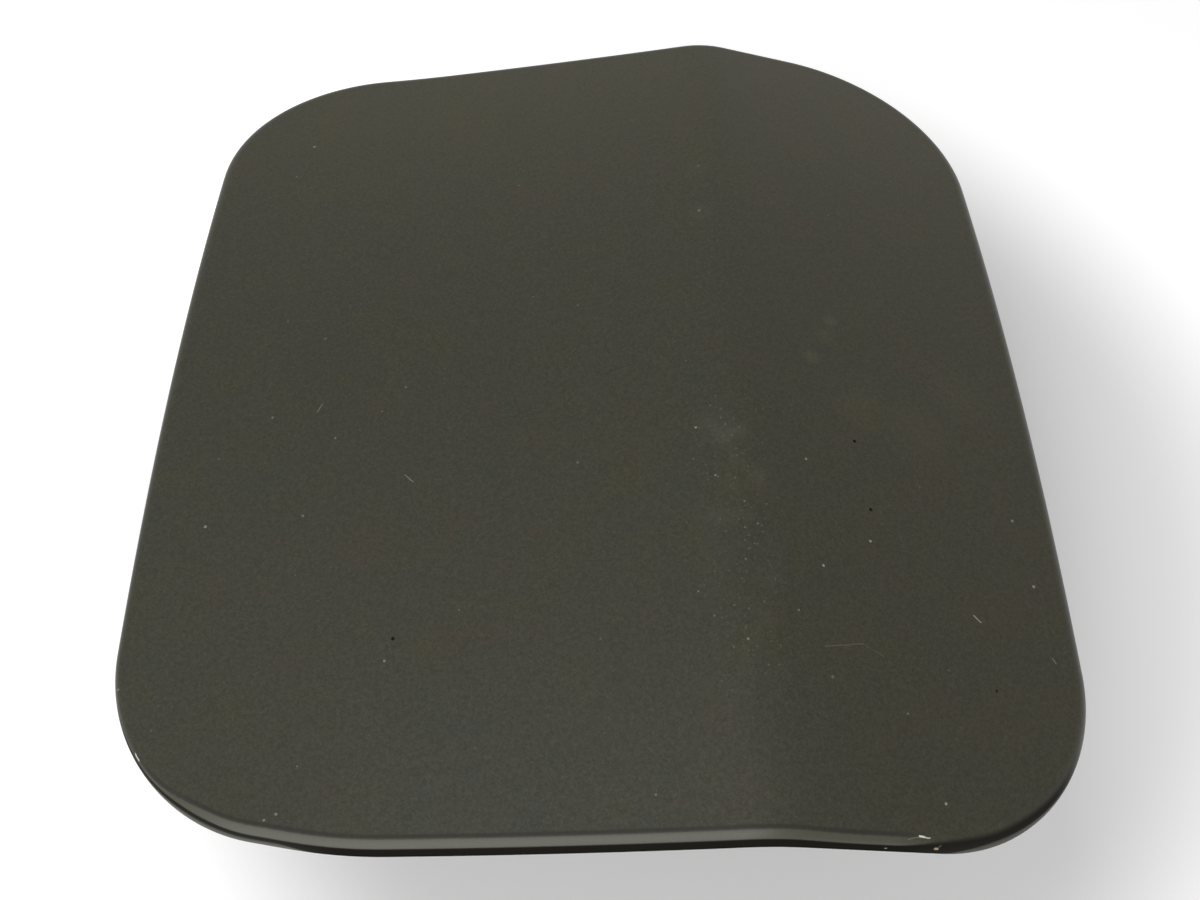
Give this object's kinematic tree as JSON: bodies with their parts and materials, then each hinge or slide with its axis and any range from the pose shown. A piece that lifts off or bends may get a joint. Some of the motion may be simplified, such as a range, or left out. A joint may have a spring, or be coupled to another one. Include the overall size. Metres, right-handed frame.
{
  "type": "car fuel door",
  "caption": "Hemmed steel car fuel door with a soft crease, on a sprung gooseneck hinge with a screw-on bracket.",
  "frame": {"origin": "midway between the two bracket screw holes, on the face that seats on the body", "axes": "+X along the hinge pin, +Y from the free edge to the hinge and into the seat, +Z out of the car"},
  "size_m": [0.17, 0.2282, 0.081],
  "materials": {
    "door_paint": "satin",
    "inner_paint": "satin",
    "sealer": "matte",
    "black_coat": "satin",
    "zinc_steel": "satin",
    "spring_steel": "satin",
    "bush_plastic": "matte",
    "black_plastic": "matte",
    "black_rubber": "matte"
  },
  "bodies": {
    "bracket": {"hinge_bracket": "black_coat", "stop_pads": "black_rubber", "hinge_pin": "zinc_steel", "pin_clip": "spring_steel", "spring_sleeve": "bush_plastic", "torsion_spring": "spring_steel"},
    "door": {"outer_skin": "door_paint", "inner_panel": "inner_paint", "hem_sealer": "sealer", "hinge_arm": "black_coat", "bush_left": "bush_plastic", "bush_right": "bush_plastic", "arm_bolts": "zinc_steel", "weld_nuts": "zinc_steel", "lock_tongue": "zinc_steel", "tongue_rivets": "zinc_steel", "bumper_near_left": "black_rubber", "bumper_near_right": "black_rubber", "bumper_far_left": "black_rubber", "bumper_far_right": "black_rubber", "cap_hook": "black_plastic"}
  },
  "joints": [
    {"name": "door_hinge", "type": "hinge", "parent": "bracket", "child": "door", "pos_m": [0, -0.014, 0.022], "axis": [-1, 0, 0], "range_deg": [0, 80], "stiffness_Nm_per_rad": 0.1, "springref_deg": -57.3, "deforming": ["torsion_spring"]}
  ]
}
